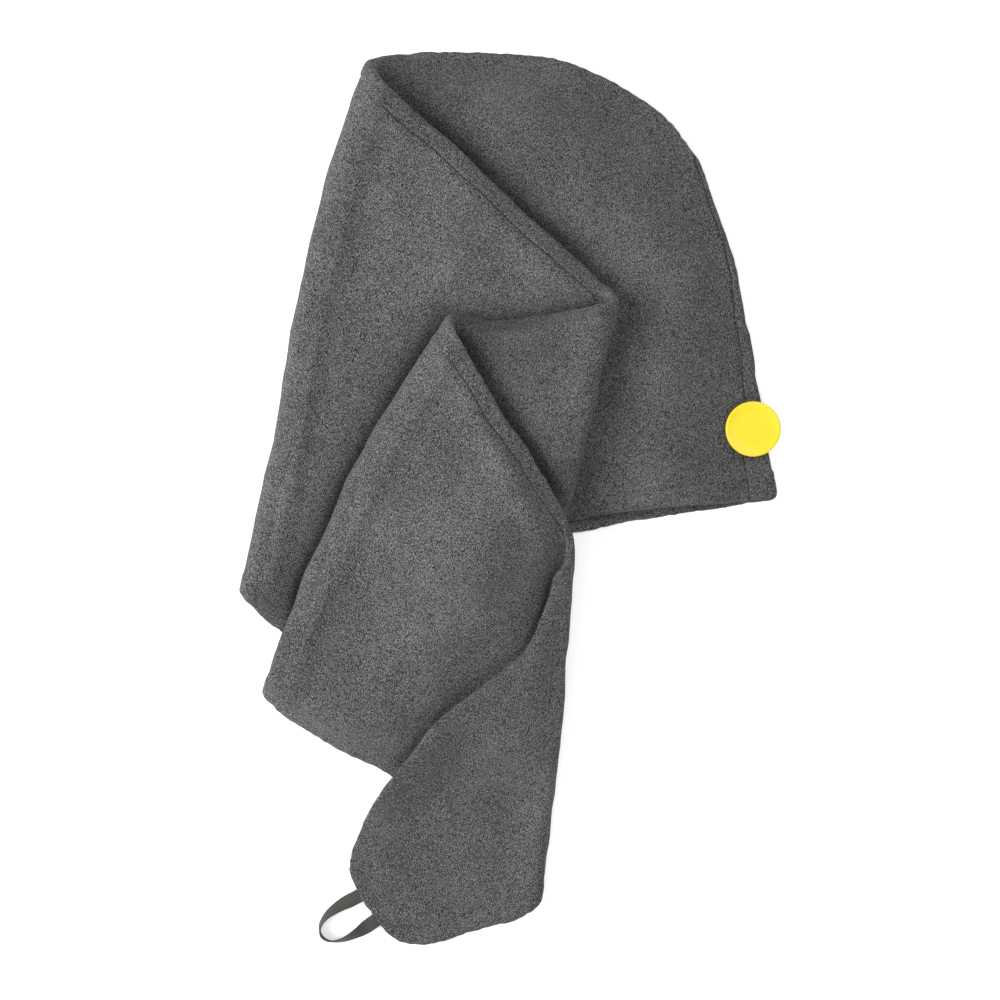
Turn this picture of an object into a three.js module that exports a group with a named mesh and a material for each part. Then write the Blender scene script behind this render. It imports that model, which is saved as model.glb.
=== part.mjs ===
// A hair turban towel, laid on a flat surface as it is stored: the hood lies on its side and the
// long tail is folded back over it in a zigzag of four turns.
//
// The towel is two mirrored halves of thick microfibre towelling. A seam joins them round the back
// of the hood, over its crown and on along one side of the tail. The other side is a hem, left
// open from the nape to the tip of the tail: that is where the head and the hair go in. A button
// stands on the seam at the nape, and a loop of tape sewn into the tip of the tail hooks onto it.
//
// Millimetres, +Z up, +Y towards the crown. The surface under the towel is at z = 0.

import * as THREE from "three";
import { mergeVertices } from "three/addons/utils/BufferGeometryUtils.js";

// The plan that the folded towel covers
const LAID_WIDTH = 272; // from the lower end of the first fold to the nape
const LAID_LENGTH = 454; // from the crown to the tip of the tail

// Cloth
const CLOTH = 2.0; // thickness of one half
const HALF_GAP = 0.4; // between the two halves where they lie together
const HOOD_PUFF = 13; // how far the halves stand apart inside the hood, at most
const NAPE_RUN = 66; // from the seam to where the hood stands fully open, at the nape
const CROWN_RUN = 32; // the same over the crown, where the tail begins
const PRESS_RUN = 36; // how far beside the tail its weight still holds the hood down
const MOUTH_STEP = 6.5; // how much shorter the upper half is at the mouth of the hood

// The stack of folds
const CORNER_LIFT = 7; // how far the corner between the hood and the first turn stands up
const CORNER_RUN = 24; // how far from that corner the towel lies on the surface again
const PANEL_GAP = 1.5; // between one fold of the tail and the next
const DRAPE_SHELF = 3; // how far past an edge the cloth above it still lies level
const DRAPE_RUN = 42; // how far it then takes to come down
const TURN_LOFT = 8; // how far a turn holds its two folds apart, at most
const LOFT_RUN = 26; // how far from the turn it still does
const SEAM_LIFT = 12; // how far the stiff seam stands up off the fold below, at most
const LIFT_RUN = 30; // how far from the seam the cloth still stands up
const PILLOW = 8; // how far a fold swells up where nothing lies on it, at most
const PILLOW_RISE = 10; // how far beside the folds that lie on it
const PILLOW_RUN = 18; // how far inside its own outline

// Button, with its shank
const BUTTON_DIAMETER = 28;
const BUTTON_THICKNESS = 3.2;
const BUTTON_EDGE = 0.7; // rounding of the disc's rim
const BUTTON_OVERHANG = 6.2; // how far the disc reaches past the edge of the cloth
const BUTTON_ABOVE_HEM = 37; // from the mouth of the hood to the middle of the disc
const SHANK_DIAMETER = 6;
const SHANK_HEIGHT = 2.4;
const SEAT_CLEARANCE = 0.3;

// Loop of tape at the tip of the tail
const TAPE_WIDTH = 7;
const TAPE_THICKNESS = 1.1;
const LOOP_REACH = 29; // from the tip of the tail to the far end of the loop
const LOOP_SPREAD = 17.5; // between the two strands
const TIP_GRIP = 16; // length of the tip over which the halves part to hold the tape

// How finely the surfaces are faceted
const STEP_ALONG = 16;
const STEPS_ACROSS = 15;
const STEPS_ROUND_TURN = 5;
const BUTTON_FACETS = 32;
const BORDER_SEARCH_STEPS = 240;

// Lines across the towel from its seam to its hem, in order from the back of the hood to the tip
// of the tail. Places are shares of LAID_WIDTH from the left and of LAID_LENGTH from the tip.
// A bow bends the line sideways, near the seam or near the hem, as a share of the line's length.
// Step is the share of MOUTH_STEP by which the upper half falls short there.
const LINE_COLUMNS = ["kind", "seamX", "seamY", "hemX", "hemY", "bowSeam", "bowHem", "step"];
const LINES = [
  ["flat", 0.852, 0.88, 1.0, 0.5, 0.046, 0.012, 0],
  ["flat", 0.782, 0.933, 0.887, 0.49, 0.028, 0.008, 0.35],
  ["flat", 0.689, 0.968, 0.773, 0.479, 0.015, 0.01, 0.75],
  ["flat", 0.576, 0.994, 0.651, 0.465, 0, 0, 1],
  ["flat", 0.445, 1.0, 0.501, 0.45, 0, 0, 0.9],
  ["flat", 0.338, 0.999, 0.332, 0.433, -0.01, -0.01, 0.5],
  ["flat", 0.268, 0.992, 0.15, 0.412, -0.015, -0.01, 0],
  ["fold", 0.231, 0.979, 0.0, 0.4, -0.042, 0.004, 0],
  ["flat", 0.272, 0.957, 0.045, 0.364, -0.02, 0, 0],
  ["flat", 0.37, 0.906, 0.138, 0.329, 0, 0, 0],
  ["flat", 0.52, 0.822, 0.304, 0.279, 0, 0, 0],
  ["flat", 0.642, 0.757, 0.435, 0.245, 0, 0, 0],
  ["fold", 0.702, 0.72, 0.495, 0.229, 0.01, 0, 0],
  ["flat", 0.595, 0.708, 0.333, 0.242, 0, 0, 0],
  ["flat", 0.482, 0.7, 0.173, 0.263, 0, 0, 0],
  ["fold", 0.385, 0.7, 0.038, 0.287, -0.05, -0.03, 0],
  ["flat", 0.41, 0.672, 0.084, 0.2555, -0.02, -0.01, 0],
  ["flat", 0.463, 0.617, 0.163, 0.224, 0, 0, 0],
  ["flat", 0.548, 0.536, 0.294, 0.182, 0, 0, 0],
  ["flat", 0.598, 0.483, 0.426, 0.119, 0, 0, 0],
  ["fold", 0.616, 0.44, 0.559, 0.055, 0.02, 0.01, 0],
  ["flat", 0.573, 0.4255, 0.55, 0.049, 0.01, 0, 0],
  ["flat", 0.569, 0.386, 0.536, 0.04, 0, 0, 0],
  ["flat", 0.537, 0.341, 0.507, 0.028, 0, 0, 0],
  ["flat", 0.499, 0.318, 0.473, 0.022, 0, 0, 0],
  ["flat", 0.383, 0.264, 0.413, 0.013, 0, 0, 0],
  ["flat", 0.304, 0.209, 0.37, 0.003, 0, 0, 0],
  ["flat", 0.246, 0.162, 0.332, 0.0, 0, 0, 0],
  ["flat", 0.208, 0.111, 0.295, 0.004, 0, 0, 0],
  ["flat", 0.201, 0.085, 0.267, 0.016, -0.05, -0.05, 0],
];

// For each of the four turns and the panel that it turns onto: the shares of TURN_LOFT at the
// turn's seam end and hem end, and the shares of SEAM_LIFT at the start and end of the panel's seam.
const RISE_COLUMNS = ["loftSeam", "loftHem", "liftStart", "liftEnd"];
const RISES = [
  [0.9, 0.36, 0.9, 0.55],
  [0.6, 0.36, 0.6, 0.3],
  [0.75, 0.36, 0.9, 0.7],
  [0.75, 0.4, 1, 0.3],
];

// The loop's route from one end of the tape to the other: out from the tip in shares of
// LOOP_REACH, across it in shares of LOOP_SPREAD, and how far the tape leans from upright.
const LOOP_COLUMNS = ["out", "across", "leanDegrees"];
const LOOP_ROUTE = [
  [-0.3, -0.2, 90], [-0.04, -0.22, 90], [0.16, -0.23, 90], [0.43, -0.25, 50], [0.7, -0.2, 24],
  [0.9, -0.02, 8], [0.96, 0.26, 0], [0.86, 0.52, -8], [0.64, 0.66, -24], [0.38, 0.69, -50],
  [0.16, 0.66, -90], [-0.04, 0.63, -90], [-0.3, 0.6, -90],
];

const table = (columns, rows) =>
  rows.map((row) => Object.fromEntries(columns.map((name, i) => [name, row[i]])));
const smooth = (share) => THREE.MathUtils.smoothstep(share, 0, 1);
const { lerp } = THREE.MathUtils;
const halfThickness = CLOTH + HALF_GAP / 2;

// Plan of the folds

const lines = table(LINE_COLUMNS, LINES).map((row) => ({
  ...row,
  seam: new THREE.Vector2(row.seamX * LAID_WIDTH, row.seamY * LAID_LENGTH),
  hem: new THREE.Vector2(row.hemX * LAID_WIDTH, row.hemY * LAID_LENGTH),
}));
const turns = lines.filter((line) => line.kind === "fold");

// A point on a line, with u running from 0 at the seam to 1 at the hem.
function pointOn(line, u) {
  const along = line.hem.clone().sub(line.seam);
  const bow = 4 * u * (1 - u) * lerp(line.bowSeam, line.bowHem, u);
  return new THREE.Vector2(
    line.seam.x + along.x * u - along.y * bow,
    line.seam.y + along.y * u + along.x * bow,
  );
}

function directionOn(line, u) {
  const step = 0.01;
  return pointOn(line, u + step).sub(pointOn(line, u - step)).normalize();
}

// The five panels between the back of the hood, the four turns and the tip, each as the lines
// that bound and cross it.
function splitIntoPanels() {
  const panels = [[]];
  for (const line of lines) {
    panels.at(-1).push(line);
    if (line.kind === "fold") panels.push([line]);
  }
  return panels;
}
const panels = splitIntoPanels();

const seamOf = (panel) => new THREE.SplineCurve(panel.map((line) => line.seam));
const hemOf = (panel) => new THREE.SplineCurve(panel.map((line) => line.hem));
const WHOLE = { seam: [0, 1], hem: [0, 1] };

// A line at any place along a panel, on smooth curves through the panel's own lines. Bounds are
// the shares of its seam and of its hem between which the line runs.
function lineAlong(panel, share, bounds = WHOLE) {
  const place = share * (panel.length - 1);
  const index = Math.min(Math.floor(place), panel.length - 2);
  const [before, after] = [panel[index], panel[index + 1]];
  const between = place - index;
  return {
    seam: seamOf(panel).getPoint(lerp(...bounds.seam, share)),
    hem: hemOf(panel).getPoint(lerp(...bounds.hem, share)),
    bowSeam: lerp(before.bowSeam, after.bowSeam, between),
    bowHem: lerp(before.bowHem, after.bowHem, between),
    step: lerp(before.step, after.step, between),
  };
}

const stepsAlong = (panel) =>
  Math.ceil(Math.max(seamOf(panel).getLength(), hemOf(panel).getLength()) / STEP_ALONG);

const shares = (count) => Array.from({ length: count + 1 }, (_, i) => i / count);

function outlineOf(panel) {
  const across = shares(STEPS_ACROSS);
  const along = shares(stepsAlong(panel)).map((share) => lineAlong(panel, share));
  return [
    ...across.map((u) => pointOn(panel[0], 1 - u)),
    ...along.map((line) => line.seam),
    ...across.map((u) => pointOn(panel.at(-1), u)),
    ...along.reverse().map((line) => line.hem),
  ];
}
const outlines = panels.map(outlineOf);
const turnLines = turns.map((turn) => shares(STEPS_ACROSS).map((u) => pointOn(turn, u)));
const backSeam = [
  ...shares(STEPS_ACROSS).map((u) => pointOn(lines[0], 1 - u)),
  ...shares(stepsAlong(panels[0])).map((share) => lineAlong(panels[0], share).seam),
];
const seamLines = panels.map((panel) => shares(2 * STEPS_ACROSS).map((s) => seamOf(panel).getPoint(s)));
const tipLine = shares(STEPS_ACROSS).map((u) => pointOn(lines.at(-1), u));

// The nearest place on a path of straight pieces: its distance, and its share of the path.
function nearestOn(path, point) {
  let nearest = { distance: Infinity, share: 0 };
  for (let i = 1; i < path.length; i++) {
    const edge = path[i].clone().sub(path[i - 1]);
    const along = point.clone().sub(path[i - 1]).dot(edge) / Math.max(edge.lengthSq(), 1e-9);
    const within = THREE.MathUtils.clamp(along, 0, 1);
    const distance = path[i - 1].clone().addScaledVector(edge, within).distanceTo(point);
    if (distance < nearest.distance)
      nearest = { distance, share: (i - 1 + within) / (path.length - 1) };
  }
  return nearest;
}
const distanceToPath = (point, path) => nearestOn(path, point).distance;

function isInside(point, outline) {
  let inside = false;
  for (let i = 0, j = outline.length - 1; i < outline.length; j = i++) {
    const [a, b] = [outline[i], outline[j]];
    const crosses = a.y > point.y !== b.y > point.y;
    if (crosses && point.x < ((b.x - a.x) * (point.y - a.y)) / (b.y - a.y) + a.x) inside = !inside;
  }
  return inside;
}

// How far outside a panel's outline a point is, and how far inside it.
const closedOutlines = outlines.map((outline) => [...outline, outline[0]]);
function distanceBeside(point, panel) {
  return isInside(point, outlines[panel]) ? 0 : distanceToPath(point, closedOutlines[panel]);
}
function distanceWithin(point, panel) {
  return isInside(point, outlines[panel]) ? distanceToPath(point, closedOutlines[panel]) : 0;
}

// Heights

// How far apart the two halves stand at a point of a panel: open in the hood, parted round the
// tape at the tip, and otherwise together.
function gapBetweenHalves(panel, point) {
  if (panel === 0) {
    const seam = nearestOn(backSeam, point);
    const fromSeam = smooth(seam.distance / lerp(NAPE_RUN, CROWN_RUN, seam.share));
    const pressed = 1 - Math.min(distanceBeside(point, 1) / PRESS_RUN, 1);
    return HALF_GAP + HOOD_PUFF * fromSeam * lerp(1, 0.1, pressed ** 2.5);
  }
  if (panel === panels.length - 1) {
    const held = 1 - smooth(distanceToPath(point, tipLine) / TIP_GRIP - 1);
    return lerp(HALF_GAP, TAPE_THICKNESS + 2 * SEAT_CLEARANCE, held);
  }
  return HALF_GAP;
}

// How far a fold swells up where nothing lies on it, close beside the folds that do.
function pillowAt(panel, point) {
  if (panel === panels.length - 1) return 0;
  const later = panels.map((_, index) => index).filter((index) => index > panel);
  const free = Math.min(...later.map((index) => distanceBeside(point, index)));
  const inner = smooth(distanceWithin(point, panel) / PILLOW_RUN);
  return PILLOW * (1 - Math.exp(-free / PILLOW_RISE)) * inner;
}

// The air over a panel, under the next one: more beside the turn that joins the two, more under
// the next one's seam, and more where the next one swells.
const rises = table(RISE_COLUMNS, RISES);
function airOver(panel, point) {
  const { loftSeam, loftHem, liftStart, liftEnd } = rises[panel];
  const turn = nearestOn(turnLines[panel], point);
  const loft = TURN_LOFT * lerp(loftSeam, loftHem, smooth(turn.share * 1.6));
  const seam = nearestOn(seamLines[panel + 1], point);
  const lift = SEAM_LIFT * lerp(liftStart, liftEnd, seam.share);
  return (
    PANEL_GAP +
    loft * (1 - smooth(turn.distance / LOFT_RUN)) +
    lift * (1 - smooth(seam.distance / LIFT_RUN)) +
    pillowAt(panel + 1, point)
  );
}

// The underside of a panel: it lies on all the panels below it and comes down beside their edges.
// The whole stack stands up a little at the corner where the first turn begins.
function undersideOf(panel, point) {
  let height = CORNER_LIFT * (1 - smooth(point.distanceTo(turns[0].seam) / CORNER_RUN));
  for (let below = 0; below < panel; below++) {
    const fall = smooth((distanceBeside(point, below) - DRAPE_SHELF) / DRAPE_RUN);
    if (fall < 1)
      height +=
        (1 - fall) * (2 * CLOTH + gapBetweenHalves(below, point) + airOver(below, point));
  }
  return height;
}

const middleOf = (panel, point) =>
  undersideOf(panel, point) + CLOTH + gapBetweenHalves(panel, point) / 2;

// The middle of the towel, between its halves

// A turn rolls the cloth over a curved edge. This is the roll at a place v along the edge, from 0
// at its seam end to 1 at its hem end; v runs on past both ends, because the seam and the hem come
// to the edge aslant and so roll over it along a screw line.
function rollAt(panel, v) {
  const turn = turns[panel];
  const within = pointOn(turn, THREE.MathUtils.clamp(v, 0, 1));
  const along = directionOn(turn, v);
  const facing = panel % 2 === 0 ? 1 : -1; // turns face left and right by turns
  const outward = new THREE.Vector2(along.y, -along.x).multiplyScalar(facing);
  const radius = (middleOf(panel + 1, within) - middleOf(panel, within)) / 2;
  const start = pointOn(turn, v).addScaledVector(outward, -(radius + halfThickness));
  return { outward, radius, start };
}

// Where a panel's seam or hem comes to the roll of a turn, as a share of that border and as a
// place along the edge of the turn. The search starts from the turn's own end of the border.
function meetingWith(panel, border, startsAtTurn) {
  const turn = turns[panel];
  const span = turn.hem.clone().sub(turn.seam);
  for (const step of shares(BORDER_SEARCH_STEPS)) {
    const share = startsAtTurn ? step : 1 - step;
    const point = border.getPoint(share);
    const v = point.clone().sub(turn.seam).dot(span) / span.lengthSq();
    const { outward, start } = rollAt(panel, v);
    if (start.sub(point).dot(outward) >= 0) return { share, v };
  }
  throw new Error(`panel beside turn ${panel} is narrower than the turn`);
}

const meetings = turns.map((turn, panel) => ({
  seamBefore: meetingWith(panel, seamOf(panels[panel]), false),
  hemBefore: meetingWith(panel, hemOf(panels[panel]), false),
  seamAfter: meetingWith(panel, seamOf(panels[panel + 1]), true),
  hemAfter: meetingWith(panel, hemOf(panels[panel + 1]), true),
}));

// The shares of a panel's seam and hem that lie flat, between the turns at its ends.
function flatBounds(panel) {
  const [before, after] = [meetings[panel - 1], meetings[panel]];
  return {
    seam: [before?.seamAfter.share ?? 0, after?.seamBefore.share ?? 1],
    hem: [before?.hemAfter.share ?? 0, after?.hemBefore.share ?? 1],
  };
}

// Each station gives, for u from seam to hem, a point of the middle surface, the direction
// towards the upper half there, and the gap between the halves.
function flatStation(panel, line) {
  const towardsUpper = new THREE.Vector3(0, 0, panel % 2 === 0 ? 1 : -1);
  return {
    step: (line.step * MOUTH_STEP) / line.seam.distanceTo(line.hem),
    at(u) {
      const point = pointOn(line, u);
      return {
        middle: new THREE.Vector3(point.x, point.y, middleOf(panel, point)),
        towardsUpper,
        gap: gapBetweenHalves(panel, point),
      };
    },
  };
}

function turnStation(panel, angle) {
  const { seamBefore, seamAfter, hemBefore, hemAfter } = meetings[panel];
  const vAtSeam = lerp(seamBefore.v, seamAfter.v, angle / Math.PI);
  const vAtHem = lerp(hemBefore.v, hemAfter.v, angle / Math.PI);
  return {
    step: 0,
    at(u) {
      const { outward, radius, start } = rollAt(panel, lerp(vAtSeam, vAtHem, u));
      const low = middleOf(panel, start);
      const rise = (middleOf(panel + 1, start) - low) / 2;
      const plan = start.clone().addScaledVector(outward, radius * Math.sin(angle));
      const facing = panel % 2 === 0 ? 1 : -1;
      const inward = -Math.sin(angle) * facing;
      return {
        middle: new THREE.Vector3(plan.x, plan.y, low + rise * (1 - Math.cos(angle))),
        towardsUpper: new THREE.Vector3(
          outward.x * inward, outward.y * inward, Math.cos(angle) * facing,
        ),
        gap: gapBetweenHalves(panel, start),
      };
    },
  };
}

function makeStations() {
  const stations = [];
  for (const [index, panel] of panels.entries()) {
    const bounds = flatBounds(index);
    for (const share of shares(stepsAlong(panel))) {
      const endsAtTurn = (share === 0 && index > 0) || (share === 1 && index < turns.length);
      if (!endsAtTurn) stations.push(flatStation(index, lineAlong(panel, share, bounds)));
    }
    if (index < turns.length)
      for (const share of shares(STEPS_ROUND_TURN))
        stations.push(turnStation(index, Math.PI * share));
  }
  return stations;
}
const stations = makeStations();

// Solids

// One closed body from a list of points and a list of triangles, with its faces turned outward.
function closedBody(points, triangles) {
  const volume = triangles.reduce(
    (sum, [a, b, c]) => sum + points[a].dot(points[b].clone().cross(points[c])), 0,
  );
  const ordered = volume > 0 ? triangles : triangles.map(([a, b, c]) => [a, c, b]);
  const geometry = new THREE.BufferGeometry().setFromPoints(points);
  geometry.setIndex(ordered.flat());
  return geometry;
}

// The solid between two facing grids of points, closed along its four borders.
function solidBetween(front, back) {
  const [rows, columns] = [front.length, front[0].length];
  const points = [...front.flat(), ...back.flat()];
  const f = (i, j) => i * columns + j;
  const b = (i, j) => rows * columns + f(i, j);
  const triangles = [];
  const quad = (p, q, r, s) => triangles.push([p, q, r], [p, r, s]);
  for (let i = 0; i + 1 < rows; i++)
    for (let j = 0; j + 1 < columns; j++) {
      const cell = [[i, j], [i + 1, j], [i + 1, j + 1], [i, j + 1]];
      const [p, q, r, t] = cell.map(([row, column]) => front[row][column]);
      if (p.distanceTo(r) > q.distanceTo(t)) cell.push(cell.shift());
      quad(...cell.map((corner) => f(...corner)));
      const [k, l, m, n] = cell.map((corner) => b(...corner));
      triangles.push([k, m, l], [k, n, m]);
    }
  for (let i = 0; i + 1 < rows; i++) {
    quad(f(i, 0), b(i, 0), b(i + 1, 0), f(i + 1, 0));
    quad(f(i + 1, columns - 1), b(i + 1, columns - 1), b(i, columns - 1), f(i, columns - 1));
  }
  for (let j = 0; j + 1 < columns; j++) {
    quad(f(0, j + 1), b(0, j + 1), b(0, j), f(0, j));
    quad(f(rows - 1, j), b(rows - 1, j), b(rows - 1, j + 1), f(rows - 1, j + 1));
  }
  return closedBody(points, triangles);
}

// One half of the towel: side 1 is the half that is uppermost in the hood, -1 the other.
function towelHalf(side) {
  const face = (depth) =>
    stations.map((station) =>
      shares(STEPS_ACROSS).map((share) => {
        const u = side > 0 ? share * (1 - station.step) : share;
        const { middle, towardsUpper, gap } = station.at(u);
        return middle.clone().addScaledVector(towardsUpper, side * (gap / 2 + depth));
      }),
    );
  return solidBetween(face(CLOTH), face(0));
}

// The place of the button: over the back seam, near the hem of the mouth. It rests on the highest
// part of the cloth under its shank.
function buttonPlace() {
  const back = lines[0];
  const u = 1 - BUTTON_ABOVE_HEM / back.seam.distanceTo(back.hem);
  const along = directionOn(back, u);
  const inward = new THREE.Vector2(along.y, -along.x);
  const centre = pointOn(back, u).addScaledVector(inward, BUTTON_DIAMETER / 2 - BUTTON_OVERHANG);
  const under = centre.clone().addScaledVector(inward, SHANK_DIAMETER / 2);
  return { centre, clothTop: 2 * CLOTH + gapBetweenHalves(0, under) + SEAT_CLEARANCE };
}

function buttonDisc() {
  const radius = BUTTON_DIAMETER / 2;
  const profile = [new THREE.Vector2(0, 0)];
  const corner = (angle, y) =>
    new THREE.Vector2(
      radius - BUTTON_EDGE + BUTTON_EDGE * Math.cos(angle),
      y + BUTTON_EDGE * Math.sin(angle),
    );
  for (const share of shares(3)) profile.push(corner(-Math.PI / 2 * (1 - share), BUTTON_EDGE));
  for (const share of shares(3))
    profile.push(corner(Math.PI / 2 * share, BUTTON_THICKNESS - BUTTON_EDGE));
  profile.push(new THREE.Vector2(0, BUTTON_THICKNESS));
  return mergeVertices(new THREE.LatheGeometry(profile, BUTTON_FACETS).rotateX(Math.PI / 2));
}

function buttonShank() {
  const radius = SHANK_DIAMETER / 2;
  const post = new THREE.CylinderGeometry(radius, radius, SHANK_HEIGHT, BUTTON_FACETS / 2);
  return post.rotateX(Math.PI / 2);
}

// The tape of the loop, from between the halves at the tip, round and back again.
function tapeLoop() {
  const tip = lines.at(-1);
  const root = pointOn(tip, 0.5);
  const along = directionOn(tip, 0.5);
  const out = new THREE.Vector2(along.y, -along.x);
  const seat = CLOTH + TAPE_THICKNESS / 2 + SEAT_CLEARANCE;
  const route = table(LOOP_COLUMNS, LOOP_ROUTE).map(({ out: reach, across, leanDegrees }) => {
    const lean = THREE.MathUtils.degToRad(leanDegrees);
    const plan = root
      .clone()
      .addScaledVector(out, reach * LOOP_REACH)
      .addScaledVector(along, across * LOOP_SPREAD);
    const upright = TAPE_WIDTH * Math.cos(lean) + TAPE_THICKNESS * Math.abs(Math.sin(lean));
    return { centre: new THREE.Vector3(plan.x, plan.y, Math.max(seat, upright / 2)), lean };
  });
  const curve = new THREE.CatmullRomCurve3(route.map((place) => place.centre));
  const faces = { front: [], back: [] };
  for (const share of shares(3 * (route.length - 1))) {
    const place = share * (route.length - 1);
    const before = Math.min(Math.floor(place), route.length - 2);
    const lean = lerp(route[before].lean, route[before + 1].lean, place - before);
    const centre = curve.getPoint(share);
    const ahead = curve.getTangent(share).setZ(0).normalize();
    const sideways = new THREE.Vector3(ahead.y, -ahead.x, 0);
    const width = new THREE.Vector3(0, 0, Math.cos(lean)).addScaledVector(
      sideways, -Math.abs(Math.sin(lean)),
    );
    const normal = ahead.clone().cross(width);
    const corner = (w, n) =>
      centre
        .clone()
        .addScaledVector(width, w * TAPE_WIDTH)
        .addScaledVector(normal, n * TAPE_THICKNESS);
    faces.front.push([corner(-0.5, 0.5), corner(0.5, 0.5)]);
    faces.back.push([corner(-0.5, -0.5), corner(0.5, -0.5)]);
  }
  return solidBetween(faces.front, faces.back);
}

// The towel and its pieces, each in its own material

function mesh(name, geometry, color, roughness) {
  const material = new THREE.MeshStandardMaterial({ color, roughness, metalness: 0 });
  geometry.deleteAttribute("normal");
  geometry.deleteAttribute("uv");
  const made = new THREE.Mesh(mergeVertices(geometry), material);
  made.name = name;
  return made;
}

const upperHalf = mesh("upper_half", towelHalf(1), 0x5c5b5c, 0.95);
const lowerHalf = mesh("lower_half", towelHalf(-1), 0x5c5b5c, 0.95);

const button = new THREE.Group();
const { centre: buttonCentre, clothTop } = buttonPlace();
const disc = mesh("button_disc", buttonDisc(), 0xffe81a, 0.3);
const shank = mesh("button_shank", buttonShank(), 0xe8d000, 0.5);
shank.position.z = SHANK_HEIGHT / 2;
disc.position.z = SHANK_HEIGHT + SEAT_CLEARANCE;
button.add(shank, disc);
button.position.set(buttonCentre.x, buttonCentre.y, clothTop);

const loop = mesh("hanging_loop", tapeLoop(), 0x4a4743, 0.8);

// The origin is on the surface, under the middle of everything that the towel covers.
const laid = new THREE.Group();
laid.add(upperHalf, lowerHalf, button, loop);
const covered = new THREE.Box3().setFromObject(laid);
const middle = covered.getCenter(new THREE.Vector3());
laid.position.set(-middle.x, -middle.y, 0);

const towel = new THREE.Group();
towel.add(laid);

export default towel;
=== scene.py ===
# %% [markdown]
# # A hair turban towel, folded and laid flat
#
# The towel is two mirrored halves of grey microfibre towelling, sewn together round the back of a
# hood and on along one side of a long tail. It lies on its side with the tail folded back over the
# hood in a zigzag of four turns. A round yellow button stands on the seam at the nape, and a loop
# of woven tape is caught in the blunt tip of the tail.
#
# The real towel could be rebuilt by a cloth simulation that folds two flat cuts. Here each half is
# worked out instead, because the folds have to lie in known places to within a millimetre or two:
# a table of lines from seam to hem gives the plan, and a sum of thicknesses gives the heights.
#
# Lengths are in metres in the part's own frame: +Z up, +Y towards the crown, +X towards the nape.
# The solids are loaded first, before anything is added.

import math

import bmesh
import bpy
import numpy as np
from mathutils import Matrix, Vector


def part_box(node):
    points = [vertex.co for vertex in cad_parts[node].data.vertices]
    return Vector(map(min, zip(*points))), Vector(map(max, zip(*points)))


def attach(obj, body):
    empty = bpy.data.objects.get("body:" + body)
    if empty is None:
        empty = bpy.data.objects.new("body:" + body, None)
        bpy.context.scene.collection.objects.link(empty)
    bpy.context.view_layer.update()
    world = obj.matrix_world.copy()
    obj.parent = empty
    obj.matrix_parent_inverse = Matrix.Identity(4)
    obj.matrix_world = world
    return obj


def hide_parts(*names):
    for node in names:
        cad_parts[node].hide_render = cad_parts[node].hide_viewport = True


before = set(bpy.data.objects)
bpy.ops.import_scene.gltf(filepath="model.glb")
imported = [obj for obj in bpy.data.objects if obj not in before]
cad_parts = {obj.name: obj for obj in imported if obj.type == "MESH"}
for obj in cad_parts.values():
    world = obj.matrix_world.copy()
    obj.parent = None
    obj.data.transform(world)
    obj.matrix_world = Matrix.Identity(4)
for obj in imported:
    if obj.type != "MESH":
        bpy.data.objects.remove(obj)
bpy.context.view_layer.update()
MM = 0.001
rng = np.random.default_rng(7)

# %% [markdown]
# ## Sizes
#
# The plan of the folds is the solids' own: the same lines run from the seam to the hem, at nearly
# the same shares of the laid width and length. The stack is softer than the solids. The folds lie
# closer together, come down beside an edge more quickly, and swell where nothing lies on them.
#
# A panel is the flat cloth between two turns. Panel 0 is the hood, and 1 to 4 are the tail's.

# %% Sizes
WIDTH = 272 * MM
LENGTH = 454 * MM
CENTRE = np.array([136.5, 227.1]) * MM  # the middle of what the towel covers
CLOTH = 2.0 * MM
HALF_GAP = 0.35 * MM
# The halves stand apart in the hood: how far, and how far in from the seam at nape and crown
PUFF = 13 * MM
NAPE_RUN = 66 * MM
CROWN_RUN = 30 * MM
# The tail presses the hood together as far away as this, down to a share of the puff
PRESS_RUN = 40 * MM
PRESSED = 0.1
# The hood rises steeply beside the tail's upper end and softly beside its lower part
STEEP_FROM = 70 * MM
STEEP_RUN = 110 * MM
MOUTH_STEP = 6.5 * MM  # the upper half's mouth lies back this far at most
PANEL_GAP = 0.9 * MM  # between one fold and the next
SHELF = 2.5 * MM  # cloth stays up this far past the edge of what it lies on
DRAPE = 30 * MM  # and comes down over this distance
# Cloth stands off what is under it beside a turn and along its seam, and the seam's end of the
# first turn stands off the floor
TURN_LOFT = 8 * MM
LOFT_CHANGE = 1.6  # how quickly the loft at the seam's end gives way to that at the hem's
LOFT_RUN = 24 * MM
SEAM_LIFT = 12 * MM
LIFT_RUN = 28 * MM
CORNER_LIFT = 7 * MM
CORNER_RUN = 22 * MM
# The loose middle panels swell where nothing lies on them: how high, how soon, how far in
PILLOWS = {1: (9 * MM, 6 * MM, 16 * MM), 2: (7 * MM, 4 * MM, 9 * MM), 3: (9 * MM, 11 * MM, 16 * MM)}
# The hump beside the last turn: where it lies, how far it reaches and how high it is
HUMP = np.array([-4, -26]) * MM
HUMP_RUN = 38 * MM
HUMP_HEIGHT = 24 * MM
HUMP_RISE = 17 * MM
TAPE_WIDTH = 7 * MM
TAPE_THICKNESS = 0.9 * MM
TAPE_ROOM = 0.3 * MM  # free space between the tape and both halves
TIP_GRIP = 16 * MM  # the halves part round the tape this far in from the tip
print("laid out", round(WIDTH / MM), "by", round(LENGTH / MM), "mm, cloth", CLOTH / MM, "mm")

# %% [markdown]
# ## The lines
#
# The first line is the back edge of the hood at the nape and the last is the tip of the tail. Seam
# and hem ends are shares of WIDTH and LENGTH. A bow is a share of the line's own length. The upper
# half's mouth is stepped back by a share of MOUTH_STEP, so the lower half shows below it.

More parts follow.
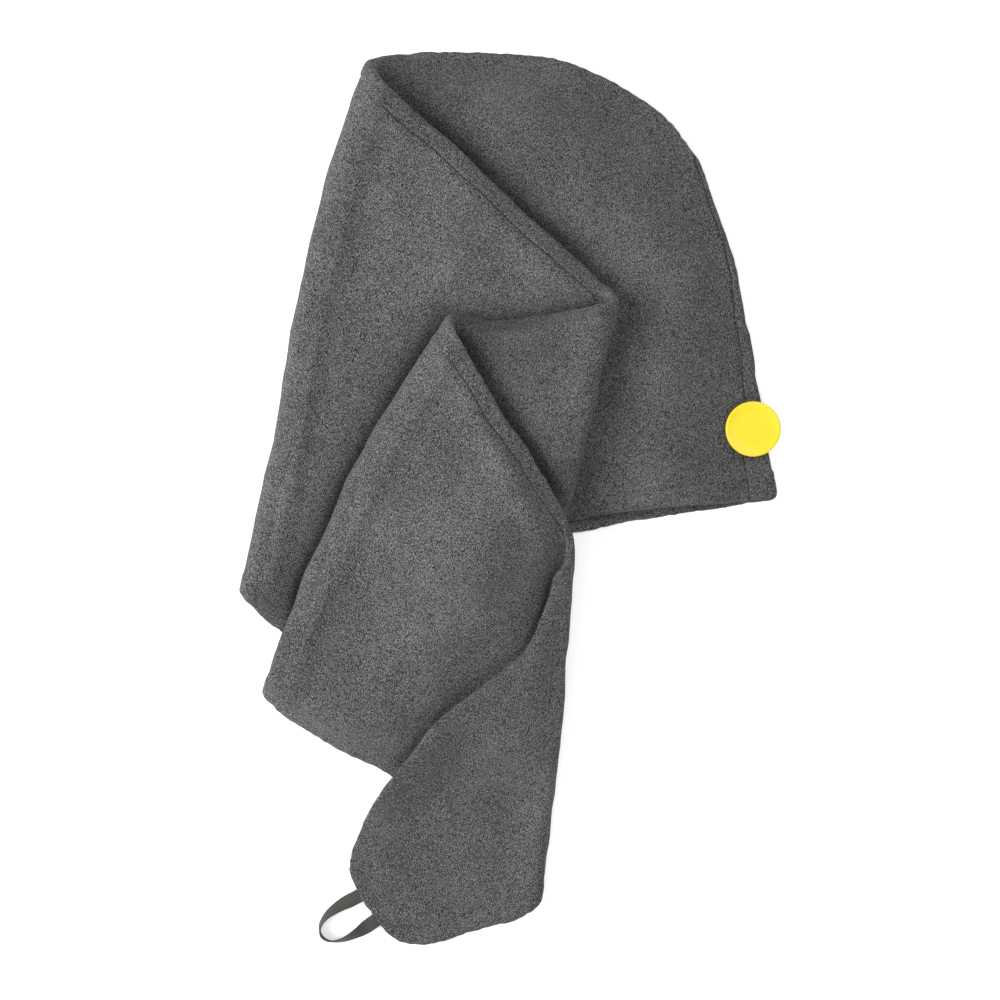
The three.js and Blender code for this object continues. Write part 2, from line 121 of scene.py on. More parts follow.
# %% Lines from the seam to the hem
# kind, seam x, seam y, hem x, hem y, bow near the seam, bow near the hem, share of the step
LINES = [
    ("flat", 0.852, 0.88, 1.0, 0.5, 0.046, 0.012, 0),
    ("flat", 0.782, 0.933, 0.887, 0.49, 0.028, 0.008, 0.35),
    ("flat", 0.689, 0.968, 0.773, 0.479, 0.015, 0.01, 0.75),
    ("flat", 0.576, 0.994, 0.651, 0.465, 0, 0, 1),
    ("flat", 0.445, 1.0, 0.501, 0.45, 0, 0, 0.9),
    ("flat", 0.338, 0.999, 0.332, 0.433, -0.01, -0.01, 0.5),
    ("flat", 0.268, 0.992, 0.15, 0.412, -0.015, -0.01, 0),
    ("fold", 0.231, 0.979, 0.0, 0.4, -0.042, 0.004, 0),
    ("flat", 0.272, 0.957, 0.045, 0.364, -0.02, 0, 0),
    ("flat", 0.37, 0.906, 0.138, 0.329, 0, 0, 0),
    ("flat", 0.52, 0.822, 0.304, 0.279, 0, 0, 0),
    ("flat", 0.642, 0.757, 0.435, 0.245, 0, 0, 0),
    ("fold", 0.702, 0.72, 0.495, 0.229, 0.01, 0, 0),
    ("flat", 0.595, 0.708, 0.333, 0.242, 0, 0, 0),
    ("flat", 0.482, 0.7, 0.173, 0.263, 0, 0, 0),
    ("fold", 0.385, 0.7, 0.038, 0.287, -0.05, -0.03, 0),
    ("flat", 0.41, 0.672, 0.084, 0.2555, -0.02, -0.01, 0),
    ("flat", 0.463, 0.617, 0.163, 0.224, 0, 0, 0),
    ("flat", 0.548, 0.536, 0.294, 0.182, 0, 0, 0),
    ("flat", 0.598, 0.483, 0.426, 0.119, 0, 0, 0),
    ("fold", 0.616, 0.44, 0.559, 0.055, 0.02, 0.01, 0),
    ("flat", 0.581, 0.418, 0.55, 0.049, 0.01, 0, 0),
    ("flat", 0.567, 0.383, 0.536, 0.04, 0, 0, 0),
    ("flat", 0.537, 0.341, 0.507, 0.028, 0, 0, 0),
    ("flat", 0.499, 0.318, 0.473, 0.022, 0, 0, 0),
    ("flat", 0.383, 0.264, 0.413, 0.013, 0, 0, 0),
    ("flat", 0.304, 0.209, 0.37, 0.003, 0, 0, 0),
    ("flat", 0.246, 0.162, 0.332, 0.0, 0, 0, 0),
    ("flat", 0.208, 0.111, 0.295, 0.004, 0, 0, 0),
    ("flat", 0.201, 0.085, 0.267, 0.016, -0.05, -0.05, 0),
]
KINDS = [line[0] for line in LINES]
values = np.array([line[1:] for line in LINES])
SEAM = values[:, 0:2] * [WIDTH, LENGTH] - CENTRE
HEM = values[:, 2:4] * [WIDTH, LENGTH] - CENTRE
BOW = values[:, 4:6]
STEP = values[:, 6] * MOUTH_STEP
TURNS = [i for i, kind in enumerate(KINDS) if kind == "fold"]
PANELS = [list(range(a, b + 1)) for a, b in zip([0, *TURNS], [*TURNS, len(LINES) - 1])]
print(len(PANELS), "panels between", len(TURNS), "turns")

# %% [markdown]
# ## How the turns stand
#
# Towelling springs back a little where it is folded, and more where its thick seam is folded with
# it. So each turn stands up, and most of them more at the seam's end than at the hem's.

# %% Rise and section of each turn
# Shares of the turn's loft at its seam and hem ends, then shares of the seam's lift at the start
# and end of the panel that it turns onto
RISES = [
    (1.0, 0.8, 1.3, 0.35),
    (0.5, 0.3, 0.6, 0.3),
    (0.8, 0.75, 1.25, 0.6),
    (0.2, 0.4, 0.2, 0.8),
]
# How square each turn's section is: 2 is round
SQUARE = (2.2, 2.9, 2.2, 2.4)
print("turns rise", [round(rise[0] * TURN_LOFT / MM, 1) for rise in RISES], "mm at the seam")

# %% [markdown]
# ## The plan
#
# A panel's seam and hem are smooth curves through the ends of its lines. Between them every line
# may bow a little. These functions give points on the lines, and distances to the panels' outlines.

# %% Curves and distances
def smooth(x):
    x = np.clip(x, 0, 1)
    return x * x * (3 - 2 * x)


def mix(a, b, t):
    return a + (b - a) * t


def spline(points, share):
    """Points on a smooth curve through the given ones, at shares of their count."""
    last = len(points) - 1
    place = np.clip(np.asarray(share, float) * last, 0, last)
    index = np.minimum(place.astype(int), last - 1)
    t = (place - index)[..., None]
    a, b = points[np.maximum(index - 1, 0)], points[index]
    c, d = points[index + 1], points[np.minimum(index + 2, last)]
    v0, v1 = (c - a) / 2, (d - b) / 2
    return (2 * b - 2 * c + v0 + v1) * t**3 + (3 * c - 3 * b - 2 * v0 - v1) * t**2 + v0 * t + b


def on_line(seam, hem, bow, u):
    """A point at share u of the way from seam to hem."""
    along = hem - seam
    side = np.stack([-along[..., 1], along[..., 0]], -1)
    bend = 4 * u * (1 - u) * mix(bow[..., 0], bow[..., 1], u)
    return seam + along * u[..., None] + side * bend[..., None]


def on_turn(panel, v):
    i = TURNS[panel]
    return on_line(SEAM[i], HEM[i], BOW[i], v)


def nearest(points, path):
    """Each point's distance to a path of straight pieces, and its place as a share of the path."""
    flat = points.reshape(-1, 2)
    best = np.full(len(flat), np.inf)
    share = np.zeros(len(flat))
    for i, (a, b) in enumerate(zip(path[:-1], path[1:])):
        edge = b - a
        t = np.clip((flat - a) @ edge / max(edge @ edge, 1e-12), 0, 1)
        away = np.hypot(*(flat - a - t[:, None] * edge).T)
        closer = away < best
        best[closer] = away[closer]
        share[closer] = (i + t[closer]) / (len(path) - 1)
    shape = points.shape[:-1]
    return best.reshape(shape), share.reshape(shape)


def to_path(points, path):
    return nearest(points, path)[0]


def within(points, outline):
    """Whether each point lies inside the outline: a line from it crosses the outline oddly."""
    x, y = points[..., 0], points[..., 1]
    inside = np.zeros(x.shape, bool)
    for (ax, ay), (bx, by) in zip(outline, np.roll(outline, 1, 0)):
        crosses = (ay > y) != (by > y)
        run = (bx - ax) * (y - ay) / (by - ay if by != ay else 1e-12) + ax
        inside ^= crosses & (x < run)
    return inside


SHARES = np.linspace(0, 1, 25)


def line_points(i):
    return on_line(SEAM[i], HEM[i], BOW[i], SHARES)


def outline_of(panel):
    """Points round a panel, given as the numbers of its lines."""
    first, last = panel[0], panel[-1]
    runs = [line_points(first)[::-1], spline(SEAM[panel], SHARES)]
    runs += [line_points(last), spline(HEM[panel], SHARES)[::-1]]
    return np.concatenate(runs)


OUTLINES = [outline_of(panel) for panel in PANELS]
SEAM_LINES = [spline(SEAM[panel], SHARES) for panel in PANELS]
BACK_SEAM = np.concatenate([line_points(0)[::-1], spline(SEAM[PANELS[0]], SHARES)])
print("outlines of", [len(outline) for outline in OUTLINES], "points")

# %% [markdown]
# ## The stack
#
# The halves stand apart inside the hood and lie together in the tail, where they part only round
# the tape. A panel rests on every panel under it, stands off a little more beside its turn, and
# comes down past the edges of what it lies on.

# %% Heights
def gap(panel, p):
    """How far the two halves stand apart."""
    if panel == 0:
        from_seam, along_seam = nearest(p, BACK_SEAM)
        open_in = smooth(from_seam / mix(NAPE_RUN, CROWN_RUN, along_seam))
        away = np.clip(beside(p, 1) / PRESS_RUN, 0, 1)
        rise = mix(smooth(away), 1 - (1 - away) ** 3, smooth((p[..., 1] - STEEP_FROM) / STEEP_RUN))
        return HALF_GAP + PUFF * open_in * mix(PRESSED, 1, rise)
    if panel == len(PANELS) - 1:
        held = 1 - smooth(to_path(p, line_points(-1)) / TIP_GRIP - 1)
        return mix(HALF_GAP, TAPE_THICKNESS + TAPE_ROOM, held)
    return np.full(p.shape[:-1], HALF_GAP)


def beside(p, panel):
    """Distance to a panel's outline from outside it, or nothing within it."""
    outline = OUTLINES[panel]
    away = to_path(p, np.concatenate([outline, outline[:1]]))
    away[within(p, outline)] = 0
    return away


def pillow(panel, p):
    """Cloth swells where no later panel weighs on it, up to that panel's very edge."""
    if panel in (0, len(PANELS) - 1):
        return 0.0
    outline = OUTLINES[panel]
    inside = to_path(p, np.concatenate([outline, outline[:1]])) * within(p, outline)
    free = np.minimum.reduce([beside(p, later) for later in range(panel + 1, len(PANELS))])
    most, rise, run = PILLOWS[panel]
    height = most * (1 - np.exp(-free / rise))
    if panel == len(PANELS) - 2:
        near = np.exp(-((np.linalg.norm(p - HUMP, axis=-1) / HUMP_RUN) ** 2))
        height += HUMP_HEIGHT * near * (1 - np.exp(-free / HUMP_RISE))
    return height * smooth(inside / run)


def air(panel, p):
    """How far the next panel stands off this one."""
    loft_seam, loft_hem, lift_start, lift_end = RISES[panel]
    from_turn, along_turn = nearest(p, line_points(TURNS[panel]))
    from_seam, along_seam = nearest(p, SEAM_LINES[panel + 1])
    loft = TURN_LOFT * mix(loft_seam, loft_hem, smooth(along_turn * LOFT_CHANGE))
    lift = SEAM_LIFT * mix(lift_start, lift_end, along_seam)
    loft = loft * (1 - smooth(from_turn / LOFT_RUN))
    lift = lift * (1 - smooth(from_seam / LIFT_RUN))
    return PANEL_GAP + loft + lift + pillow(panel + 1, p)


def underside(panel, p):
    """The height that a panel rests at: the panels below it, each fallen away past its edge."""
    corner = SEAM[TURNS[0]]
    height = CORNER_LIFT * (1 - smooth(np.linalg.norm(p - corner, axis=-1) / CORNER_RUN))
    for below in range(panel):
        fall = smooth((beside(p, below) - SHELF) / DRAPE)
        height += (1 - fall) * (2 * CLOTH + gap(below, p) + air(below, p))
    return height


def middle(panel, p):
    """The height of the face where the two halves meet."""
    return underside(panel, p) + CLOTH + gap(panel, p) / 2


half_way = np.array([0.5])
starts = [middle(turn + 1, on_turn(turn, half_way))[0] for turn in range(len(TURNS))]
print("the tail's panels start", [round(float(z) / MM, 1) for z in starts], "mm up")

# %% [markdown]
# ## The turns
#
# A turn rolls the cloth over a bent edge. The seam and the hem come to that edge aslant, so they
# roll over it along a screw line: each starts at one place along the edge and ends at another.

# %% Turns
TRIES = 481  # places that are tried along a border


def facing(panel):
    """1 where the upper half is on top, and -1 where the towel lies the other way up."""
    return 1 if panel % 2 == 0 else -1


def roll(panel, v):
    """The way out over a turn's edge, the turn's radius, and where the roll starts."""
    step = 0.01
    along = on_turn(panel, v + step) - on_turn(panel, v - step)
    along /= np.linalg.norm(along, axis=-1, keepdims=True)
    outward = np.stack([along[..., 1], -along[..., 0]], -1) * facing(panel)
    inside = on_turn(panel, np.clip(v, 0, 1))
    radius = (middle(panel + 1, inside) - middle(panel, inside)) / 2
    start = on_turn(panel, v) - outward * (radius + CLOTH + HALF_GAP / 2)[..., None]
    return outward, radius, start


def meeting(panel, border, from_turn):
    """Where a seam or hem runs into a turn: its share of the border, and of the turn's edge."""
    i = TURNS[panel]
    span = HEM[i] - SEAM[i]
    share = np.linspace(0, 1, TRIES) if from_turn else np.linspace(1, 0, TRIES)
    point = spline(border, share)
    v = (point - SEAM[i]) @ span / (span @ span)
    # A bowed edge has no plain answer, so the place beside each point is closed in on
    for _ in range(3):
        v = v + (point - roll(panel, v)[2]) @ span / (span @ span)
    outward, _, start = roll(panel, v)
    first = np.argmax(((start - point) * outward).sum(-1) >= 0)
    return share[first], v[first]


def flat_bounds(index):
    """The shares of a panel's seam and hem that lie flat between its turns."""
    bounds = {"seam": [0.0, 1.0], "hem": [0.0, 1.0]}
    for side, ends in (("seam", SEAM), ("hem", HEM)):
        border = ends[PANELS[index]]
        if index > 0:
            bounds[side][0] = meeting(index - 1, border, True)[0]
        if index < len(TURNS):
            bounds[side][1] = meeting(index, border, False)[0]
    return bounds


radii = [roll(turn, half_way)[1][0] for turn in range(len(TURNS))]
print("the turns' radii are", [round(float(radius) / MM, 1) for radius in radii], "mm")

# %% [markdown]
# ## Both halves as grids
#
# A row is a line of points from the seam to the hem, and the rows follow one another from the back
# of the hood to the tip. Points crowd together at both edges, where the cloth is turned over, and
# at the two lines of stitching. Each point keeps its distances from the edges.

# %% Grids
ALONG = 1.9 * MM
ROUND_TURN = 12
ACROSS = 44
# Distances of the columns from the seam and from the hem, before the even ones between them
EDGE = np.array([
    0, 0.2, 0.55, 1.1, 1.8, 2.8, 4.4, 6.4, 8.2, 9.0, 9.5, 10.0, 10.5, 11.0, 12.5, 14.0, 15.0, 16.0,
]) * MM
RIM = 9 * MM  # rows crowd together as far as this from the back of the hood and from the tip


def across(length):
    """Distances from the seam for rows of these lengths."""
    length = np.asarray(length)[..., None]
    inner = np.linspace(0, 1, ACROSS)[1:-1]
    mid = mix(EDGE[-1], length - EDGE[-1], inner)
    ones = np.ones_like(length)
    return np.concatenate([EDGE * ones, mid, length - EDGE[::-1]], -1)


def row_shares(index):
    """Shares of a panel's length for its rows, crowded at the two ends of the towel."""
    panel = PANELS[index]
    seam_curve, hem_curve = spline(SEAM[panel], SHARES), spline(HEM[panel], SHARES)
    reach = max(np.linalg.norm(np.diff(c, axis=0), axis=1).sum() for c in (seam_curve, hem_curve))
    share = np.linspace(0, 1, math.ceil(reach / ALONG) + 1)[1:-1]
    rim = EDGE[EDGE < RIM] / reach
    if index == 0:
        share = np.concatenate([rim, share[share > rim[-1] + 0.5 * ALONG / reach]])
    if index == len(TURNS):
        share = np.concatenate([share[share < 1 - rim[-1] - 0.5 * ALONG / reach], 1 - rim[::-1]])
    return share


def flat_rows(index, side):
    """The rows of a panel, of the upper half (side 1) or the lower (-1)."""
    panel = PANELS[index]
    bounds = flat_bounds(index)
    share = row_shares(index)
    seam = spline(SEAM[panel], mix(*bounds["seam"], share))
    hem = spline(HEM[panel], mix(*bounds["hem"], share))
    place = share * (len(panel) - 1)
    bow = np.stack([np.interp(place, range(len(panel)), BOW[panel, k]) for k in (0, 1)], -1)
    step = np.interp(place, range(len(panel)), STEP[panel])
    length = np.linalg.norm(hem - seam, axis=-1)
    cut = length - (step if side > 0 else 0)
    from_seam = across(cut)
    u = from_seam / length[:, None]
    p = on_line(seam[:, None], hem[:, None], bow[:, None], u)
    z = middle(index, p)
    up = np.zeros((*z.shape, 3))
    up[..., 2] = facing(index)
    far = np.ones_like(z)
    from_back = to_path(p, line_points(0)) if index == 0 else far
    from_tip = to_path(p, line_points(-1)) if index == len(TURNS) else far
    return {
        "middle": np.concatenate([p, z[..., None]], -1),
        "up": up,
        "gap": gap(index, p),
        "from_seam": from_seam,
        "from_hem": cut[:, None] - from_seam,
        "from_back": from_back,
        "from_tip": from_tip,
        "turning": 0 * z,
    }


def turn_section(index):
    """The turn's angles, and how far out and up its cloth is at each."""
    square = SQUARE[index]
    angle = np.linspace(0, math.pi, ROUND_TURN)
    power = 1 / (square - 1)
    wide, tall = abs(np.sin(angle)) ** power, np.sign(np.cos(angle)) * abs(np.cos(angle)) ** power
    size = (wide**square + abs(tall) ** square) ** (1 / square)
    return angle, (wide / size)[:, None], (tall / size)[:, None]


def turn_rows(index):
    """The rows of a turn, the same for both halves."""
    before, after = PANELS[index], PANELS[index + 1]
    ends = []
    for border in (SEAM, HEM):
        ends.append((meeting(index, border[before], False)[1], meeting(index, border[after], True)[1]))
    angle, wide, tall = turn_section(index)
    v_seam, v_hem = (mix(*pair, angle / math.pi) for pair in ends)
    fold = np.linalg.norm(HEM[TURNS[index]] - SEAM[TURNS[index]])
    length = abs((v_hem - v_seam) * fold)
    from_seam = across(length)
    v = v_seam[:, None] + (v_hem - v_seam)[:, None] * from_seam / length[:, None]
    outward, radius, start = roll(index, v)
    a = angle[:, None]
    low = middle(index, start)
    rise = (middle(index + 1, start) - low) / 2
    p = start + outward * (radius * wide)[..., None]
    z = low + rise * (1 - tall)
    f = facing(index)
    up = np.concatenate([outward * (-np.sin(a) * f)[..., None], (np.cos(a) * f + 0 * z)[..., None]], -1)
    return {
        "middle": np.concatenate([p, z[..., None]], -1),
        "up": up,
        "gap": gap(index, start),
        "from_seam": from_seam,
        "from_hem": length[:, None] - from_seam,
        "from_back": np.ones_like(z),
        "from_tip": np.ones_like(z),
        "turning": np.ones_like(z),
    }


def half_rows(side):
    """All rows of a half, from the back of the hood to the tip."""
    blocks = []
    for index in range(len(PANELS)):
        blocks.append(flat_rows(index, side))
        if index < len(TURNS):
            blocks.append(turn_rows(index))
    return {key: np.concatenate([block[key] for block in blocks]) for key in blocks[0]}


halves = {1: half_rows(1), -1: half_rows(-1)}
print("grid of", halves[1]["middle"].shape[:2], "points")

# %% [markdown]
# ## From grid to cloth
#
# Each half is a closed skin 2 mm thick. At the seam both halves were sewn inside out and turned, so
# their faces round over and meet. At the hem each half rounds over by itself. Between the edge and
# the stitching the turned cloth is thicker, and the stitching draws it down.

# %% Skins
SEAM_ROUND = 2.6 * MM
HEM_ROUND = 1.5 * MM
STITCH_AT = 10 * MM
# Cloth turned in at an edge: how much thicker it is, and how far the stitching draws it down
SEAM_BAND = (0.35 * MM, 0.7 * MM)
NAPE_BAND = (0.3 * MM, 0.6 * MM)
HEM_BAND = (0.7 * MM, 0.6 * MM)
# The hem's corner is folded over the end of the back seam: its height, depth and thickness
FOLDED_HIGH = 14 * MM
FOLDED_DEEP = 13 * MM
FOLDED_THICK = 0.5 * MM
# The corner of the nape is blunt: how far it is drawn in, and from how far away
BLUNT = 2.2 * MM
BLUNT_RUN = 7 * MM
# The nape's row of stitching: its distance from the back seam at these heights over the hem
NAPE_HEIGHTS = np.array([0, 20, 50, 130, 200]) * MM
NAPE_ROW = np.array([14.5, 13.2, 7.6, 2.8, 2.2]) * MM


def rounding(distance, radius):
    """The share of the thickness at a distance from a rounded edge."""
    x = np.clip(distance / radius, 0, 1)
    return np.sqrt(np.clip(1 - (1 - x) ** 2, 0, 1))


def bulge(distance, row, height, depth):
    """Cloth turned in as far as the row of stitching, and drawn down along it."""
    band = smooth(distance / (2 * MM)) * (1 - smooth((distance - row) / (2.5 * MM)))
    groove = np.exp(-(((distance - row) / (0.9 * MM)) ** 2))
    return height * band - depth * groove


def nape_row(rows):
    """Distance of the nape's row of stitching from the back seam."""
    return np.interp(rows["from_hem"], NAPE_HEIGHTS, NAPE_ROW)


def nape_corner(rows):
    """Where the hem is folded over the end of the back seam, from 0 to 1."""
    up = 1 - smooth((rows["from_hem"] - FOLDED_HIGH) / (1.2 * MM))
    return up * (1 - smooth((rows["from_back"] - FOLDED_DEEP) / (2 * MM)))


def skin(rows, side):
    """The outer and inner faces of one half."""
    s = np.minimum(rows["from_seam"], rows["from_back"])
    h = rows["from_hem"]
    seam_round = rounding(s, SEAM_ROUND)
    hem_round = rounding(np.minimum(h, rows["from_tip"]), HEM_ROUND)
    if side < 0:
        seam_band = bulge(s, STITCH_AT, *SEAM_BAND)
    else:
        seam_band = bulge(rows["from_back"], nape_row(rows), *NAPE_BAND)
    thick = CLOTH + seam_band + bulge(h, STITCH_AT, *HEM_BAND)
    thick = thick + FOLDED_THICK * nape_corner(rows)
    lie = rows["gap"] / 2 * seam_round
    outer = lie + thick * seam_round
    mid = lie + thick * seam_round / 2
    outer = mix(mid, outer, hem_round)
    inner = mix(mid, lie, hem_round)
    up = rows["up"] * side
    place = rows["middle"].copy()
    place[..., 0] += FOLDED_THICK * nape_corner(rows) * (1 - smooth(rows["from_back"] / (8 * MM)))
    blunt = np.clip(1 - rows["from_back"] / BLUNT_RUN, 0, 1) * np.clip(1 - h / BLUNT_RUN, 0, 1)
    place[..., :2] += BLUNT * (blunt**2)[..., None] * [-0.9, 0.45]
    return place + up * outer[..., None], place + up * inner[..., None]


print("edges round over in", SEAM_ROUND / MM, "mm at the seam and", HEM_ROUND / MM, "mm at the hem")

# %% [markdown]
# ## Slack
#
# Laid cloth is never quite flat. One smooth field of soft swells lifts and lowers everything above
# the lowest layer by the same amount at the same place, so no layer passes through another. A
# second field moves the edges a little from side to side.

# %% Swells
LOOSE_FROM = 7 * MM  # all that lies higher than this moves in full
RIM_RUN = 2.5 * MM  # an edge is frayed as far in as this


def swell(p, waves):
    """The sum of the waves at each point."""
    total = np.zeros(p.shape[:-1])
    for length, height, turn, phase in waves:
        direction = np.array([math.cos(turn), math.sin(turn)])
        total += height * np.sin(2 * math.pi * (p[..., :2] @ direction) / length + phase)
    return total


def some_waves(count, longest, shortest, height, steep):
    """Waves in all directions. Steep is how quickly the short ones lose height."""
    return [
        (
            length,
            height * (length / longest) ** steep,
            rng.uniform(0, math.pi),
            rng.uniform(0, 2 * math.pi),
        )
        for length in np.geomspace(longest, shortest, count)
    ]


LIFT = some_waves(10, 140 * MM, 20 * MM, 0.7 * MM, 0.9)
SWAY_X = some_waves(9, 80 * MM, 12 * MM, 0.36 * MM, 0.9)
SWAY_Y = some_waves(9, 80 * MM, 12 * MM, 0.36 * MM, 0.9)
NIBBLE_X = some_waves(6, 8 * MM, 3.5 * MM, 0.07 * MM, 0.3)
NIBBLE_Y = some_waves(6, 8 * MM, 3.5 * MM, 0.07 * MM, 0.3)


def slacken(points, rows):
    """Lift and sway the cloth, and fray its edges a little."""
    loose = smooth(points[..., 2] / LOOSE_FROM)
    from_edge = np.minimum.reduce([rows[key] for key in ("from_seam", "from_hem", "from_back", "from_tip")])
    rim = np.exp(-from_edge / RIM_RUN)
    out = points.copy()
    out[..., 2] += loose * swell(points, LIFT)
    out[..., 0] += swell(points, SWAY_X) + rim * swell(points, NIBBLE_X)
    out[..., 1] += swell(points, SWAY_Y) + rim * swell(points, NIBBLE_Y)
    return out


print("swells of up to", round(sum(wave[1] for wave in LIFT) / MM, 1), "mm")

# %% [markdown]
# ## Where the stitching runs
#
# One half is topstitched along the whole seam of the tail. On the other only the nape is, and that
# row runs out to the edge over the back of the head. Both hems are stitched all along. Each vertex
# gets its distance from the rows of stitching and its place along them, for the material.

# %% Stitching
def run_along(points):
    """The distance run along a line of points, one value for each row."""
    steps = np.linalg.norm(np.diff(points, axis=0), axis=-1)
    return np.concatenate([[0], np.cumsum(steps)])[:, None]


def stitching(rows, side):
    """Distances from the stitching and along it. On a turn the seam's row is put far off."""
    s, h, m = np.minimum(rows["from_seam"], rows["from_back"]), rows["from_hem"], rows["middle"]
    at = int(np.argmin(abs(EDGE - STITCH_AT)))
    seam_run, hem_run = run_along(m[:, at]) + 0 * s, run_along(m[:, -1 - at]) + 0 * s
    if side < 0:
        to_row = s - STITCH_AT + rows["turning"]
    else:
        to_row, seam_run = rows["from_back"] - nape_row(rows), h
    return {
        "to_seam_stitch": to_row,
        "to_hem_stitch": h - STITCH_AT,
        "seam_run": seam_run,
        "hem_run": hem_run,
        "tail": (side < 0) + 0 * s,
    }


print("stitching", round(STITCH_AT / MM, 1), "mm in from seam and hem")

# %% [markdown]
# ## The two halves
#
# On the real towel each half is cut flat, its hem is turned over and stitched, and both are sewn
# together inside out and turned. Here each is a grid of outer and inner points, closed round its
# four edges. The points that meet there are merged, and the normals are made to face outwards.

# %% Build both halves
def grid_faces(count, width):
    """Faces of the outer and the inner grid, and of the four edges that join them."""
    grid = np.arange(count * width).reshape(count, width)
    a, b, c, d = grid[:-1, :-1], grid[1:, :-1], grid[1:, 1:], grid[:-1, 1:]
    top = np.stack([a, b, c, d], -1).reshape(-1, 4)
    low = top[:, ::-1] + count * width
    rims = []
    for edge in (grid[:, 0][::-1], grid[:, -1], grid[0], grid[-1][::-1]):
        pairs = np.stack([edge[:-1], edge[1:]], -1)
        rims.append(np.concatenate([pairs, pairs[:, ::-1] + count * width], -1))
    return np.concatenate([top, low, *rims])


def new_object(name, mesh, merge=0.0):
    """An object with all its faces turned outwards, and points nearer than merge made one."""
    made = bpy.data.objects.new(name, mesh)
    bpy.context.scene.collection.objects.link(made)
    clean = bmesh.new()
    clean.from_mesh(mesh)
    if merge:
        bmesh.ops.remove_doubles(clean, verts=clean.verts, dist=merge)
    bmesh.ops.recalc_face_normals(clean, faces=clean.faces)
    clean.to_mesh(mesh)
    clean.free()
    mesh.shade_smooth()
    return made


def cloth_object(name, side):
    """One half of the towel, with its distances from the stitching on its vertices."""
    rows = halves[side]
    outer, inner = (slacken(face, rows) for face in skin(rows, side))
    points = np.concatenate([outer.reshape(-1, 3), inner.reshape(-1, 3)])
    mesh = bpy.data.meshes.new(name)
    mesh.from_pydata(points.tolist(), [], grid_faces(*outer.shape[:2]).tolist())
    for key, value in stitching(rows, side).items():
        layer = mesh.attributes.new(key, "FLOAT", "POINT")
        layer.data.foreach_set("value", np.tile(value.ravel(), 2))
    made = new_object(name, mesh, merge=0.001 * MM)
    print(name, len(mesh.vertices), "vertices", len(mesh.polygons), "faces")
    return made


upper = cloth_object("towel_upper_half", 1)
lower = cloth_object("towel_lower_half", -1)
for half, node in ((upper, "upper_half"), (lower, "lower_half")):
    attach(half, "root")
    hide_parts(node)

# %% [markdown]
# ## The cut
#
# The flat cut of a half is as long as the middle of the towel from the back of the hood to the tip,
# and as wide as the hood from the seam over its crown to its mouth. The tail narrows from there, so
# the cut covers well under that rectangle.


# %% [markdown]
# ## Shader helpers
#
# The materials are sums and products of noise, distances and waves. A small class wraps a shader
# socket, so that they can be written as plain sums, and makes the nodes on the way.

# %% Shader helpers
class Value:
    """A shader socket that adds, multiplies and so on by making math nodes."""

    def __init__(self, tree, socket):
        self.tree, self.socket = tree, socket

    def node(self, kind, settings=None, **inputs):
        """Make a node: its settings first, then the values or links of its sockets."""
        made = self.tree.nodes.new(kind)
        for key, setting in (settings or {}).items():
            setattr(made, key, setting)
        for key, value in inputs.items():
            target = made.inputs[key]
            if isinstance(value, Value):
                self.tree.links.new(value.socket, target)
            else:
                target.default_value = value
        return made

    def math(self, operation, *others):
        made = self.tree.nodes.new("ShaderNodeMath")
        made.operation = operation
        for target, value in zip(made.inputs, (self, *others)):
            if isinstance(value, Value):
                self.tree.links.new(value.socket, target)
            else:
                target.default_value = value
        return Value(self.tree, made.outputs[0])

    def __add__(self, other):
        return self.math("ADD", other)

    def __sub__(self, other):
        return self.math("SUBTRACT", other)

    def __mul__(self, other):
        return self.math("MULTIPLY", other)

    def __truediv__(self, other):
        return self.math("DIVIDE", other)

    def __rsub__(self, other):
        return (self * -1) + other

    __radd__, __rmul__ = __add__, __mul__

    def ramp(self, low, high):
        """A smooth step from 0 at low to 1 at high."""
        limits = {"Value": self, "From Min": low, "From Max": high}
        made = self.node("ShaderNodeMapRange", {"interpolation_type": "SMOOTHSTEP"}, **limits)
        return Value(self.tree, made.outputs[0])


def new_material(name):
    """A material, its node tree, its shader, and a value to make nodes with."""
    material = bpy.data.materials.new(name)
    material.use_nodes = True
    tree = material.node_tree
    shader = tree.nodes["Principled BSDF"]
    return material, tree, shader, Value(tree, None)


def noise(make, place, scale, detail=2.0, rough=0.5):
    settings = {"Vector": place, "Scale": scale, "Detail": detail, "Roughness": rough}
    return Value(make.tree, make.node("ShaderNodeTexNoise", None, **settings).outputs[0])


def tinted(make, shader, share, dark, light):
    """Colour the shader between two greys. Sockets 6 and 7 of the node are its two colours."""
    mixed = make.node("ShaderNodeMix", {"data_type": "RGBA"}, Factor=share)
    mixed.inputs[6].default_value = (*dark, 1)
    mixed.inputs[7].default_value = (*light, 1)
    make.tree.links.new(mixed.outputs[2], shader.inputs["Base Color"])


def raised(make, shader, height, distance):
    """Bump the shader's surface."""
    bump = make.node("ShaderNodeBump", None, Height=height, Strength=0.4, Distance=distance)
    make.tree.links.new(bump.outputs[0], shader.inputs["Normal"])


# %% [markdown]
# ## Stitches
#
# The topstitch is a lockstitch sunk in the pile, so it shows as a thin dark line with short
# breaks: the thread, and painted shade where it draws the pile down. The overlock stitches on the
# hidden edges of the cloth come through here and there as dark pricks, in loose rows on both sides
# of it. Both are drawn from the distances on the vertices.

# %% Stitches
SEAM_PITCH = 2.9 * MM
HEM_PITCH = 3.4 * MM
# Rows of pricks beside the seam's stitching: how far off, how far apart, and how many come through
SEAM_PRICKS = [(-5.2 * MM, 3.6 * MM, 0.8), (-1.9 * MM, 2.8 * MM, 0.35), (4.0 * MM, 4.0 * MM, 0.7)]
HEM_PRICKS = (-1.2 * MM, 4.6 * MM, 0.5)


def attribute(make, name):
    node = make.node("ShaderNodeAttribute", {"attribute_name": name})
    return Value(make.tree, node.outputs["Fac"])


def vector(make, x, y):
    return Value(make.tree, make.node("ShaderNodeCombineXYZ", None, X=x, Y=y).outputs[0])


